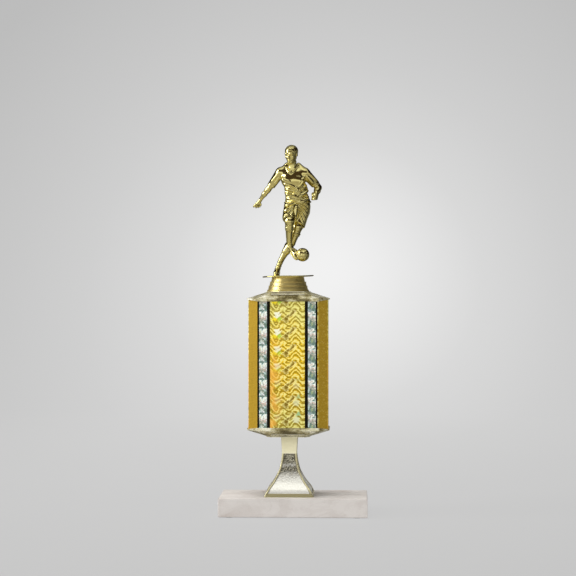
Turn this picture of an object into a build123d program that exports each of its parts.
from build123d import *

import os
from math import cos, radians

# Figure trophy. A stone slab, a flared riser, a film-wrapped column between two lids, and a gilt
# football player on a stepped collar. One threaded rod clamps the whole stack together.
#
# Frame: millimetres, +Z up, the front towards -Y and the player's left towards +X. The origin is
# on the surface that the trophy stands on, under the middle of the slab.

os.makedirs("parts", exist_ok=True)

# ------------------------------------------------------------------ driving dimensions
# Slab
slab_width, slab_depth, slab_height = 152.4, 76.2, 19.0
slab_chamfer = 0.6
pad_thickness, pad_radius, pad_inset = 0.8, 6.0, 11.0
slab_hole_radius = 4.0
counterbore_radius, counterbore_depth = 11.0, 7.0

# Rod and fixings: a number 10 rod of 24 threads to the inch
rod_x = -6.0  # the slab is drilled off its middle
rod_radius, thread_depth, thread_pitch, thread_length = 2.4, 0.32, 1.058, 18.0
thread_gap = 0.1  # radial, between the rod's crests and a bore on it
washer_radius, washer_thickness = 9.5, 1.2
tooth_washer_radius, tooth_washer_thickness = 5.4, 0.7
tooth_count, tooth_gap_width, tooth_gap_depth = 12, 0.8, 1.3
nut_flats, nut_height = 9.5, 3.2
rod_stub = 1.4  # rod left showing below the nut
insert_height = 6.0

# Riser
riser_height, riser_wall = 61.2, 1.9
riser_foot, riser_foot_lip = 25.4, 1.2  # widths of the riser are given as halves
riser_flare = ((19.9, 11.0), (11.2, 24.0), (7.6, 43.0), (9.0, 61.2))  # half width, height
riser_panel_bottom, riser_panel_top = 3.4, 57.5  # heights of the recessed panel on each face
# Outlines within the outer one, each as a share of the half width and a width taken off that
riser_panel_fit, riser_recess_fit, riser_cavity_fit = (0.87, 1.5), (0.98, 0.65), (0.94, 2.25)
riser_hole_radius = 4.1
riser_slack = 1.6  # the riser stands this far off the rod, within its hole

# Column
column_width, column_depth, column_corner = 82.0, 57.0, 9.8
column_slack = 0.8  # the column stands this far off the rod, within the lids' holes
tube_wall, film_thickness, tape_thickness = 1.6, 0.2, 0.12
black_width, black_shift, black_gap = 13.0, -0.4, 0.4  # gap: from the face's edge to the tape
silver_width, silver_inset = 7.9, 1.9  # inset: from the black tape's outer edge

# Lids, measured down from the platform's top
stack_height = 149.8  # from the lower lid's underside to the upper lid's top
lid_clearance, lid_wall = 0.35, 1.1
lid_rim_drop, lid_depth_front, lid_depth_side = 7.2, 10.2, 8.4
lid_ledge_drop = 7.9  # where the tube's end bears
lid_cone_drop = 0.8  # height of the upright edge round the platform
platform_width, platform_depth, platform_corner = 45.0, 44.0, 6.0
platform_wall = 2.2  # from the platform's edge to the hollow under it
lid_hole_radius = 3.6
bead_radius, bead_length, bead_drop = 0.7, 33.0, 2.9
rib_count, rib_spread, rib_width, rib_height = 17, 62.0, 0.8, 0.45
rib_inner_radius, rib_outer_radius = 13.0, 19.6

# Collar: each tier's low radius, high radius and height, from the bottom up
collar_tiers = ((21.8, 21.4, 1.2), (20.9, 19.9, 4.2), (19.5, 18.5, 4.2), (17.6, 16.6, 5.4))
collar_ring_radius = 0.45
collar_wall, collar_boss_radius, collar_boss_depth = 1.6, 8.0, 10.0
insert_cover = 3.0  # collar above the insert

# Turf plate
plate_length, plate_depth, plate_thickness, plate_round = 53.0, 40.0, 1.3, 0.4
plug_radius, plug_depth = 4.2, 2.0

# Ball
ball_radius = 7.0
peg_radius, peg_depth = 1.3, 2.0  # a peg on the boot holds the ball

# Player: joints as x, y, z and radius, from the middle of the plate's top
head_centre, head_width, head_height = (3.3, -8.0, 125.9), 13.4, 17.8
neck = ((4.6, -5.0, 111.0, 4.0), (4.0, -7.0, 119.0, 3.4))
torso_rings = (  # x, y, z, half width, half depth
    (4.8, -4.0, 112.0, 9.0, 4.6), (4.8, -4.0, 106.0, 13.6, 7.2), (5.6, -4.0, 97.0, 13.4, 8.4),
    (7.6, -2.5, 86.0, 11.8, 7.6), (10.0, -1.0, 77.0, 13.6, 8.8), (10.4, -1.0, 68.0, 13.4, 9.2),
)
right_arm = (
    (-8.6, -2.0, 107.6, 5.2), (-16.6, 3.0, 95.0, 4.2), (-20.6, 6.0, 89.6, 3.3), (-27.4, 12.0, 81.0, 2.1),
    (-32.0, 14.0, 76.0, 2.3), (-36.0, 15.0, 71.8, 1.2),
)
left_arm = (
    (18.2, -4.0, 107.6, 5.2), (26.6, 0.0, 97.6, 4.3), (31.0, 3.0, 91.6, 3.5), (28.6, -4.0, 83.0, 2.6),
    (27.8, -7.0, 80.2, 3.3),
)
right_leg = (
    (4.6, -2.0, 71.0, 8.4), (3.2, -16.0, 62.0, 7.2), (2.2, -23.0, 56.0, 5.0), (1.8, -15.0, 46.0, 4.4),
    (1.4, -4.0, 32.0, 2.6), (3.0, -5.0, 27.6, 2.8), (7.6, -9.0, 20.0, 2.3),
)
left_leg = (
    (14.0, 1.0, 71.0, 9.0), (11.4, -3.0, 55.0, 7.8), (8.4, -5.0, 44.0, 4.8), (1.0, 1.0, 30.0, 4.2),
    (-10.6, 6.0, 9.0, 2.7), (-12.4, 6.0, 2.4, 3.0), (-13.2, -8.0, 2.0, 2.6),
)
ball_centre = (15.4, -9.0, 21.6)

# ------------------------------------------------------------------ worked out from those
slab_top = pad_thickness + slab_height
riser_x = rod_x + riser_slack
column_x = rod_x + column_slack
stack_bottom = slab_top + riser_height
stack_top = stack_bottom + stack_height
collar_top = stack_top + sum(height for low, high, height in collar_tiers)
plate_top = collar_top + plate_thickness
counterbore_roof = pad_thickness + counterbore_depth
washer_bottom = counterbore_roof - washer_thickness
tooth_washer_bottom = washer_bottom - tooth_washer_thickness
nut_bottom = tooth_washer_bottom - nut_height
rod_bottom = nut_bottom - rod_stub
insert_top = collar_top - insert_cover
bore_radius = rod_radius + thread_gap
lid_overhang = lid_clearance + lid_wall
tube_bottom = stack_bottom + lid_ledge_drop
tube_height = stack_height - 2 * lid_ledge_drop


def write(builder, name):
    """Labels a finished piece and writes its STEP file."""
    builder.part.label = name
    export_step(builder.part, f"parts/{name}.step")


# ------------------------------------------------------------------ slab and pads
with BuildPart() as marble_base:
    with BuildSketch(Plane.XY.offset(pad_thickness)):
        Rectangle(slab_width, slab_depth)
    extrude(amount=slab_height)
    chamfer(marble_base.edges(), length=slab_chamfer)
    with Locations(Location((rod_x, 0, pad_thickness), (180, 0, 0))):
        CounterBoreHole(slab_hole_radius, counterbore_radius, counterbore_depth)
write(marble_base, "marble_base")

with BuildPart() as felt_pads:
    with BuildSketch():
        with GridLocations(slab_width - 2 * pad_inset, slab_depth - 2 * pad_inset, 2, 2):
            Circle(pad_radius)
    extrude(amount=pad_thickness)
write(felt_pads, "felt_pads")

# ------------------------------------------------------------------ fixings on the rod
with BuildPart() as base_washer:
    with BuildSketch(Plane.XY.offset(washer_bottom)):
        with Locations((rod_x, 0)):
            Circle(washer_radius)
            Circle(bore_radius, mode=Mode.SUBTRACT)
    extrude(amount=washer_thickness)
write(base_washer, "base_washer")

with BuildPart() as tooth_washer:
    with BuildSketch(Plane.XY.offset(tooth_washer_bottom)):
        with Locations((rod_x, 0)):
            Circle(tooth_washer_radius)
            Circle(bore_radius, mode=Mode.SUBTRACT)
            with PolarLocations(tooth_washer_radius, tooth_count):
                Rectangle(2 * tooth_gap_depth, tooth_gap_width, mode=Mode.SUBTRACT)
    extrude(amount=tooth_washer_thickness)
write(tooth_washer, "tooth_washer")


def hexagon_nut(bottom, height):
    """Adds a bored hexagon nut on the rod's axis, its corners turned down by a cone."""
    corner_radius = nut_flats / 2 / cos(radians(30))
    bevel = (corner_radius - nut_flats / 2) / 2
    with BuildSketch(Plane.XY.offset(bottom)) as hexagon:
        with Locations((rod_x, 0)):
            RegularPolygon(corner_radius, 6)
            Circle(bore_radius, mode=Mode.SUBTRACT)
    extrude(hexagon.sketch, amount=height)
    with BuildSketch(Plane((rod_x, 0, bottom), x_dir=(1, 0, 0), z_dir=(0, -1, 0))) as turned:
        with BuildLine():
            Polyline(
                (0, 0), (nut_flats / 2, 0), (corner_radius, bevel), (corner_radius, height - bevel),
                (nut_flats / 2, height), (0, height), close=True,
            )
        make_face()
    revolve(turned.sketch, axis=Axis((rod_x, 0, 0), (0, 0, 1)), mode=Mode.INTERSECT)


with BuildPart() as base_nut:
    hexagon_nut(nut_bottom, nut_height)
write(base_nut, "base_nut")

with BuildPart() as insert_nut:
    hexagon_nut(insert_top - insert_height, insert_height)
write(insert_nut, "insert_nut")

with BuildPart() as check_rod:
    with BuildSketch(Plane.XY.offset(rod_bottom)):
        with Locations((rod_x, 0)):
            Circle(rod_radius)
    extrude(amount=insert_top - rod_bottom)
    groove_radius = rod_radius - thread_depth
    with BuildSketch(Plane((rod_x, 0, 0), x_dir=(1, 0, 0), z_dir=(0, -1, 0))):
        for turn in range(round(thread_length / thread_pitch)):
            for root in (rod_bottom + turn * thread_pitch, insert_top - turn * thread_pitch):
                with BuildLine():
                    Polyline(
                        (groove_radius, root), (rod_radius, root + thread_pitch / 2),
                        (rod_radius + thread_depth, root), (rod_radius, root - thread_pitch / 2),
                        close=True,
                    )
                make_face()
    revolve(axis=Axis((rod_x, 0, 0), (0, 0, 1)), mode=Mode.SUBTRACT)
write(check_rod, "check_rod")


# ------------------------------------------------------------------ riser
def riser_outline(fit=(1, 0)):
    """Draws the front outline, foot on the X axis and symmetric about the Y axis; fit is the share
    of each half width that is kept and how much is then taken off it."""
    share, shift = fit
    flare_points = [(share * half - shift, height) for half, height in riser_flare]
    foot = share * riser_foot - shift
    with BuildLine() as outline:
        Line((0, 0), (foot, 0))
        Line((foot, 0), (foot, riser_foot_lip))
        flare = Spline((foot, riser_foot_lip), *flare_points)
        Line(flare @ 1, (0, riser_height))
        mirror(about=Plane.YZ)
    make_face(outline.edges())


def riser_block(fit, low, high):
    """Adds the square body that the outline gives from the front and from the side."""
    for plane, mode in ((Plane.XZ, Mode.ADD), (Plane.YZ, Mode.INTERSECT)):
        with BuildSketch(plane) as profile:
            riser_outline(fit)
            with Locations((0, (low + high) / 2)):
                Rectangle(4 * riser_foot, high - low, mode=Mode.INTERSECT)
        extrude(profile.sketch, amount=2 * riser_foot, both=True, mode=mode)


with BuildPart() as riser_panel_cut:
    with BuildSketch(Plane.XZ):
        riser_outline(riser_panel_fit)
        with Locations((0, (riser_panel_bottom + riser_panel_top) / 2)):
            Rectangle(4 * riser_foot, riser_panel_top - riser_panel_bottom, mode=Mode.INTERSECT)
    extrude(amount=2 * riser_foot)
    with BuildSketch(Plane.YZ):
        riser_outline(riser_recess_fit)
    extrude(amount=2 * riser_foot, both=True, mode=Mode.SUBTRACT)

with BuildPart() as riser_cavity:
    riser_block(riser_cavity_fit, 0, riser_height - riser_wall)

with BuildPart() as riser_shell:
    riser_block((1, 0), 0, riser_height)
    with PolarLocations(0, 4):
        add(riser_panel_cut.part, mode=Mode.SUBTRACT)
    with Locations((0, 0, riser_height)):
        Hole(riser_hole_radius)
    add(riser_cavity.part, mode=Mode.SUBTRACT)

with BuildPart() as riser:
    with Locations((riser_x, 0, slab_top)):
        add(riser_shell.part)
write(riser, "riser")


# ------------------------------------------------------------------ column
def octagon(width, depth, corner, mode=Mode.ADD):
    """Draws a rectangle with its corners cut off at 45 degrees."""
    x, y = width / 2, depth / 2
    with BuildLine() as outline:
        Polyline(
            (x - corner, -y), (x, corner - y), (x, y - corner), (x - corner, y),
            (corner - x, y), (-x, y - corner), (-x, corner - y), (corner - x, -y), close=True,
        )
    make_face(outline.edges(), mode=mode)


def column_octagon(inset, mode=Mode.ADD):
    """Draws the column's outline, moved in by the inset on all its faces."""
    corner = column_corner - inset * (2 - 2**0.5)
    octagon(column_width - 2 * inset, column_depth - 2 * inset, corner, mode)


column_plane = Plane((column_x, 0, tube_bottom))

with BuildPart() as column_tube:
    with BuildSketch(column_plane):
        column_octagon(film_thickness)
        column_octagon(film_thickness + tube_wall, Mode.SUBTRACT)
    extrude(amount=tube_height)
write(column_tube, "column_tube")

with BuildPart() as gold_film:
    with BuildSketch(column_plane):
        column_octagon(0)
        column_octagon(film_thickness, Mode.SUBTRACT)
    extrude(amount=tube_height)
write(gold_film, "gold_film")


def tape(layer, side, face, width, inset):
    """Adds one stripe: layer counts out from the film, side is -1 left or 1 right as seen from the
    front, face is -1 for the front or 1 for the rear, and inset is from the face's edge."""
    edge = column_width / 2 - column_corner - inset
    middle = column_x + black_shift + side * (edge - width / 2)
    start = face * (column_depth / 2 + layer * tape_thickness)
    plane = Plane((middle, start, tube_bottom), x_dir=(-face, 0, 0), z_dir=(0, face, 0))
    with BuildSketch(plane) as strip:
        Rectangle(width, tube_height, align=(Align.CENTER, Align.MIN))
    extrude(strip.sketch, amount=tape_thickness)


for face, face_name in ((-1, "front"), (1, "rear")):
    for side, side_name in ((-1, "left"), (1, "right")):
        with BuildPart() as black_tape:
            tape(0, side, face, black_width, black_gap)
        write(black_tape, f"black_tape_{face_name}_{side_name}")
        with BuildPart() as silver_tape:
            tape(1, side, face, silver_width, black_gap + silver_inset)
        write(silver_tape, f"silver_tape_{face_name}_{side_name}")


# ------------------------------------------------------------------ lids
facet_run = column_depth / 2 + lid_overhang - platform_depth / 2
facet_rise = lid_rim_drop - lid_cone_drop
facet_slope = Vector(0, facet_run, facet_rise).normalized()
facet_normal = Vector(0, -facet_rise, facet_run).normalized()
facet_top = Vector(0, -platform_depth / 2, -lid_cone_drop)

with BuildPart() as lid_cavity:
    with BuildSketch(Plane.XY.offset(-lid_depth_front)):
        column_octagon(-lid_clearance)
    extrude(amount=lid_depth_front - lid_ledge_drop)
    with BuildSketch(Plane.XY.offset(-lid_ledge_drop)):
        column_octagon(film_thickness + tube_wall)
    with BuildSketch(Plane.XY.offset(-lid_cone_drop - lid_wall)):
        octagon(
            platform_width - 2 * platform_wall, platform_depth - 2 * platform_wall,
            platform_corner - lid_wall,
        )
    loft(ruled=True)

# a bead and a fan of ribs, for the front and the rear facet
with BuildPart() as lid_trim:
    bead_centre = facet_top - facet_slope * ((bead_drop - lid_cone_drop) / facet_slope.Z)
    with BuildSketch(Plane(bead_centre, x_dir=(0, 1, 0), z_dir=(1, 0, 0))):
        Circle(bead_radius)
    extrude(amount=bead_length / 2, both=True)
    fan_centre = bead_centre + facet_slope * rib_inner_radius
    with BuildSketch(Plane(fan_centre, x_dir=(1, 0, 0), z_dir=facet_normal)):
        fan_start = -90 - rib_spread / 2
        with PolarLocations((rib_inner_radius + rib_outer_radius) / 2, rib_count, fan_start, rib_spread,
                            endpoint=True):
            Rectangle(rib_outer_radius - rib_inner_radius, rib_width)
    extrude(amount=rib_height, both=True)

with BuildPart() as lid:
    with BuildSketch(Plane.XY.offset(-lid_depth_front)):
        column_octagon(-lid_overhang)
    extrude(amount=lid_depth_front - lid_rim_drop)
    with BuildSketch(Plane.XY.offset(-lid_rim_drop)):
        column_octagon(-lid_overhang)
    with BuildSketch(Plane.XY.offset(-lid_cone_drop)):
        octagon(platform_width, platform_depth, platform_corner)
    loft(ruled=True)
    with BuildSketch(Plane.XY.offset(-lid_cone_drop)):
        octagon(platform_width, platform_depth, platform_corner)
    extrude(amount=lid_cone_drop)
    with PolarLocations(0, 2):
        add(lid_trim.part)
    add(lid_cavity.part, mode=Mode.SUBTRACT)
    Hole(lid_hole_radius)
    # the skirt is shallower round the two ends, with a slanting edge across each bevel
    bevel_start = column_width / 2 - column_corner
    with BuildSketch(Plane.XZ):
        with BuildLine():
            Polyline(
                (bevel_start, -lid_depth_front), (column_width, -lid_depth_front),
                (column_width, -lid_depth_side), (column_width / 2, -lid_depth_side), close=True,
            )
        make_face()
        mirror(about=Plane.YZ)
    extrude(amount=column_depth, both=True, mode=Mode.SUBTRACT)

with BuildPart() as upper_lid:
    with Locations((column_x, 0, stack_top)):
        add(lid.part)
write(upper_lid, "upper_lid")

with BuildPart() as lower_lid:
    with Locations(Location((column_x, 0, stack_bottom), (180, 0, 0))):
        add(lid.part)
write(lower_lid, "lower_lid")

# ------------------------------------------------------------------ collar and turf plate
with BuildPart() as figure_collar:
    with BuildSketch(Plane((rod_x, 0, stack_top), x_dir=(1, 0, 0), z_dir=(0, -1, 0))):
        height = 0
        for low, high, rise in collar_tiers:
            with BuildLine():
                Polyline((0, height), (low, height), (high, height + rise), (0, height + rise), close=True)
            make_face()
            height += rise
            if (low, high, rise) != collar_tiers[-1]:
                with Locations((high, height)):
                    Circle(collar_ring_radius)
    revolve(axis=Axis((rod_x, 0, 0), (0, 0, 1)))
    with BuildSketch(Plane.XY.offset(stack_top)):
        with Locations((rod_x, 0)):
            Circle(collar_tiers[1][0] - collar_wall)
            Circle(collar_boss_radius, mode=Mode.SUBTRACT)
    with BuildSketch(Plane.XY.offset(collar_top - collar_wall)):
        with Locations((rod_x, 0)):
            Circle(collar_tiers[-1][1] - collar_wall)
            Circle(collar_boss_radius, mode=Mode.SUBTRACT)
    loft(mode=Mode.SUBTRACT)
    with BuildSketch(Plane.XY.offset(stack_top)):
        with Locations((rod_x, 0)):
            Circle(collar_boss_radius)
    extrude(amount=collar_top - stack_top - collar_boss_depth, mode=Mode.SUBTRACT)
    with BuildSketch(Plane.XY.offset(insert_top - insert_height)):
        with Locations((rod_x, 0)):
            RegularPolygon(nut_flats / 2 / cos(radians(30)), 6)
    extrude(amount=insert_height, mode=Mode.SUBTRACT)
    with Locations((rod_x, 0, insert_top - insert_height / 2)):
        Hole(bore_radius + thread_gap, depth=insert_height)
    with Locations((rod_x, 0, collar_top)):
        Hole(plug_radius, depth=plug_depth)
write(figure_collar, "figure_collar")

with BuildPart() as turf_plate:
    with BuildSketch(Plane.XY.offset(collar_top)):
        with Locations((rod_x, 0)):
            Ellipse(plate_length / 2, plate_depth / 2)
    extrude(amount=plate_thickness)
    fillet(turf_plate.edges().group_by(Axis.Z)[-1], radius=plate_round)
    with BuildSketch(Plane.XY.offset(collar_top - plug_depth)):
        with Locations((rod_x, 0)):
            Circle(plug_radius)
    extrude(amount=plug_depth)
write(turf_plate, "turf_plate")

# ------------------------------------------------------------------ player and ball
player_base = Vector(rod_x, 0, plate_top)


def limb(joints):
    """Adds a chain of balls joined by cones; each joint is x, y, z and radius."""
    for x, y, z, radius in joints:
        with Locations(player_base + Vector(x, y, z)):
            Sphere(radius)
    for start, end in zip(joints, joints[1:]):
        centre = player_base + Vector(*start[:3])
        direction = Vector(*end[:3]) - Vector(*start[:3])
        with BuildSketch(Plane(centre, z_dir=direction)) as near:
            Circle(start[3])
        with BuildSketch(Plane(centre + direction, z_dir=direction)) as far:
            Circle(end[3])
        loft([near.sketch, far.sketch])


with BuildPart() as player_figure:
    for x, y, z, half_width, half_depth in torso_rings:
        with BuildSketch(Plane(player_base + Vector(x, y, z))):
            Ellipse(half_width, half_depth)
    loft()
    for joints in (neck, right_arm, left_arm, right_leg, left_leg):
        limb(joints)
    head_middle = player_base + Vector(*head_centre)
    with BuildSketch(Plane(head_middle, x_dir=(1, 0, 0), z_dir=(0, -1, 0))):
        Ellipse(head_width / 2, head_height / 2)
        with Locations((-head_width, 0)):
            Rectangle(2 * head_width, 2 * head_height, mode=Mode.SUBTRACT)
    revolve(axis=Axis(head_middle, (0, 0, 1)))
    ball_middle = player_base + Vector(*ball_centre)
    toe = player_base + Vector(*right_leg[-1][:3])
    with Locations(ball_middle):
        Sphere(ball_radius, mode=Mode.SUBTRACT)
    peg_direction = (ball_middle - toe).normalized()
    peg_reach = (ball_middle - toe).length - ball_radius + peg_depth
    with BuildSketch(Plane(toe, z_dir=peg_direction)):
        Circle(peg_radius)
    extrude(amount=peg_reach)
    split(bisect_by=Plane.XY.offset(plate_top), keep=Keep.TOP)
write(player_figure, "player_figure")

with BuildPart() as soccer_ball:
    with Locations(ball_middle):
        Sphere(ball_radius)
    with BuildSketch(Plane(toe, z_dir=peg_direction)):
        Circle(peg_radius)
    extrude(amount=peg_reach, mode=Mode.SUBTRACT)
write(soccer_ball, "soccer_ball")
